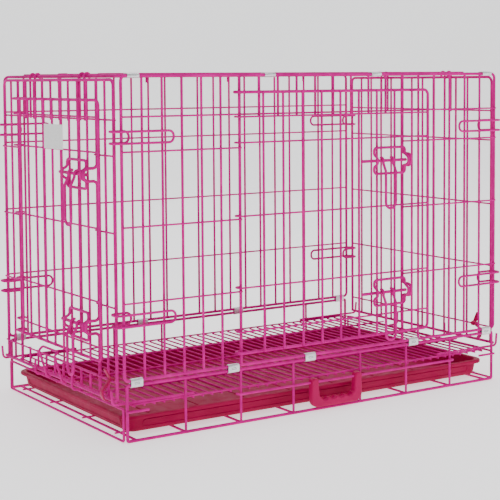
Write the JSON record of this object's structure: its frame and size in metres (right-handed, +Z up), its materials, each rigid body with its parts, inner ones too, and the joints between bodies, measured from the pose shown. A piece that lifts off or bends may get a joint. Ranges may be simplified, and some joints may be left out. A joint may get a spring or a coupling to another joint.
{
  "type": "wire dog crate",
  "caption": "Folding pink wire dog crate with a front door and an end door, slide bolts, a floor grille, a pull-out plastic tray and a carry handle.",
  "frame": {"origin": "centre of the base's footprint, on the floor", "axes": "+X runs along the crate from the left end to the right end, +Y from the front panel to the back panel, +Z up"},
  "size_m": [0.8241, 0.4769, 0.5663],
  "materials": {
    "pink_coated_wire": "hot pink powder coating, satin",
    "crimson_plastic": "moulded, soft gloss",
    "pink_plastic": "moulded, soft gloss",
    "zinc_clip": "bright zinc plated sheet",
    "white_card": "blank card, matt"
  },
  "bodies": {
    "crate": {"base_front_rail": "pink_coated_wire", "base_back_rail": "pink_coated_wire", "base_left_rail": "pink_coated_wire", "base_right_rail": "pink_coated_wire", "handle_wire": "pink_coated_wire", "base_cross_wires": "pink_coated_wire", "base_long_wires": "pink_coated_wire", "left_floor_hooks": "pink_coated_wire", "right_floor_hooks": "pink_coated_wire", "floor_grille": "pink_coated_wire", "front_panel_left": "pink_coated_wire", "front_panel_right": "pink_coated_wire", "front_panel_header": "pink_coated_wire", "front_panel_sill": "pink_coated_wire", "back_panel": "pink_coated_wire", "roof_panel": "pink_coated_wire", "roof_back_hooks": "pink_coated_wire", "front_corner_hooks": "pink_coated_wire", "back_corner_hooks": "pink_coated_wire", "front_hinge_clips": "zinc_clip", "back_hinge_clips": "zinc_clip", "roof_hinge_clips": "zinc_clip"},
    "front_door": {"front_door_mesh": "pink_coated_wire", "front_door_hinge_loops": "pink_coated_wire", "front_door_keepers": "pink_coated_wire"},
    "left_end": {"left_end_header": "pink_coated_wire", "left_end_front": "pink_coated_wire", "left_end_rear": "pink_coated_wire", "left_end_sill": "pink_coated_wire"},
    "left_door": {"left_door_mesh": "pink_coated_wire", "left_door_hinge_loops": "pink_coated_wire", "left_door_keepers": "pink_coated_wire", "name_card": "white_card"},
    "right_end": {"right_end_panel": "pink_coated_wire"},
    "tray": {"tray": "crimson_plastic"},
    "carry_handle": {"carry_handle": "pink_plastic"},
    "left_end_bail": {"left_end_bail": "pink_coated_wire"},
    "left_catch": {"left_catch": "pink_plastic"},
    "right_catch": {"right_catch": "pink_plastic"},
    "front_lower_bolt": {"front_lower_bolt": "pink_coated_wire"},
    "front_lower_handle": {"front_lower_handle": "pink_coated_wire"},
    "front_upper_bolt": {"front_upper_bolt": "pink_coated_wire"},
    "front_upper_handle": {"front_upper_handle": "pink_coated_wire"},
    "left_lower_bolt": {"left_lower_bolt": "pink_coated_wire"},
    "left_lower_handle": {"left_lower_handle": "pink_coated_wire"},
    "left_upper_bolt": {"left_upper_bolt": "pink_coated_wire"},
    "left_upper_handle": {"left_upper_handle": "pink_coated_wire"}
  },
  "joints": [
    {"name": "left_end_fold", "type": "hinge", "parent": "crate", "child": "left_end", "pos_m": [-0.377, 0, 0.5595], "axis": [0, 1, 0], "range_deg": [-84, 0]},
    {"name": "right_end_fold", "type": "hinge", "parent": "crate", "child": "right_end", "pos_m": [0.377, 0, 0.5595], "axis": [0, 1, 0], "range_deg": [0, 90]},
    {"name": "front_door_swing", "type": "hinge", "parent": "crate", "child": "front_door", "pos_m": [-0.169, -0.22, 0.324], "axis": [0, 0, -1], "range_deg": [0, 150]},
    {"name": "left_door_swing", "type": "hinge", "parent": "left_end", "child": "left_door", "pos_m": [-0.386, 0.148, 0.321], "axis": [0, 0, -1], "range_deg": [0, 150]},
    {"name": "front_lower_bolt_slide", "type": "slide", "parent": "front_door", "child": "front_lower_bolt", "axis": [1, 0, 0], "range_m": [0, 0.021]},
    {"name": "front_lower_handle_swing", "type": "hinge", "parent": "front_lower_bolt", "child": "front_lower_handle", "pos_m": [0.1165, -0.2357, 0.1885], "axis": [-1, 0, 0], "range_deg": [0, 95]},
    {"name": "front_upper_bolt_slide", "type": "slide", "parent": "front_door", "child": "front_upper_bolt", "axis": [1, 0, 0], "range_m": [0, 0.021]},
    {"name": "front_upper_handle_swing", "type": "hinge", "parent": "front_upper_bolt", "child": "front_upper_handle", "pos_m": [0.1165, -0.2357, 0.4135], "axis": [-1, 0, 0], "range_deg": [0, 95]},
    {"name": "left_lower_bolt_slide", "type": "slide", "parent": "left_door", "child": "left_lower_bolt", "axis": [0, -1, 0], "range_m": [0, 0.021]},
    {"name": "left_lower_handle_swing", "type": "hinge", "parent": "left_lower_bolt", "child": "left_lower_handle", "pos_m": [-0.4017, -0.1015, 0.1705], "axis": [0, 1, 0], "range_deg": [0, 95]},
    {"name": "left_upper_bolt_slide", "type": "slide", "parent": "left_door", "child": "left_upper_bolt", "axis": [0, -1, 0], "range_m": [0, 0.021]},
    {"name": "left_upper_handle_swing", "type": "hinge", "parent": "left_upper_bolt", "child": "left_upper_handle", "pos_m": [-0.4017, -0.1015, 0.4075], "axis": [0, 1, 0], "range_deg": [0, 95]},
    {"name": "left_bail_swing", "type": "hinge", "parent": "left_end", "child": "left_end_bail", "pos_m": [-0.3902, 0, 0.065], "axis": [0, 1, 0], "range_deg": [-110, 10]},
    {"name": "left_catch_swing", "type": "hinge", "parent": "left_end", "child": "left_catch", "pos_m": [-0.3891, -0.193, 0.0935], "axis": [0, 1, 0], "range_deg": [0, 100]},
    {"name": "right_catch_swing", "type": "hinge", "parent": "right_end", "child": "right_catch", "pos_m": [0.3891, -0.16, 0.0935], "axis": [0, -1, 0], "range_deg": [0, 100]},
    {"name": "tray_slide", "type": "slide", "parent": "crate", "child": "tray", "axis": [-1, 0, 0], "range_m": [0, 0.7]},
    {"name": "carry_handle_swing", "type": "hinge", "parent": "crate", "child": "carry_handle", "pos_m": [0.0165, -0.2241, 0.049], "axis": [-1, 0, 0], "range_deg": [0, 150]}
  ]
}
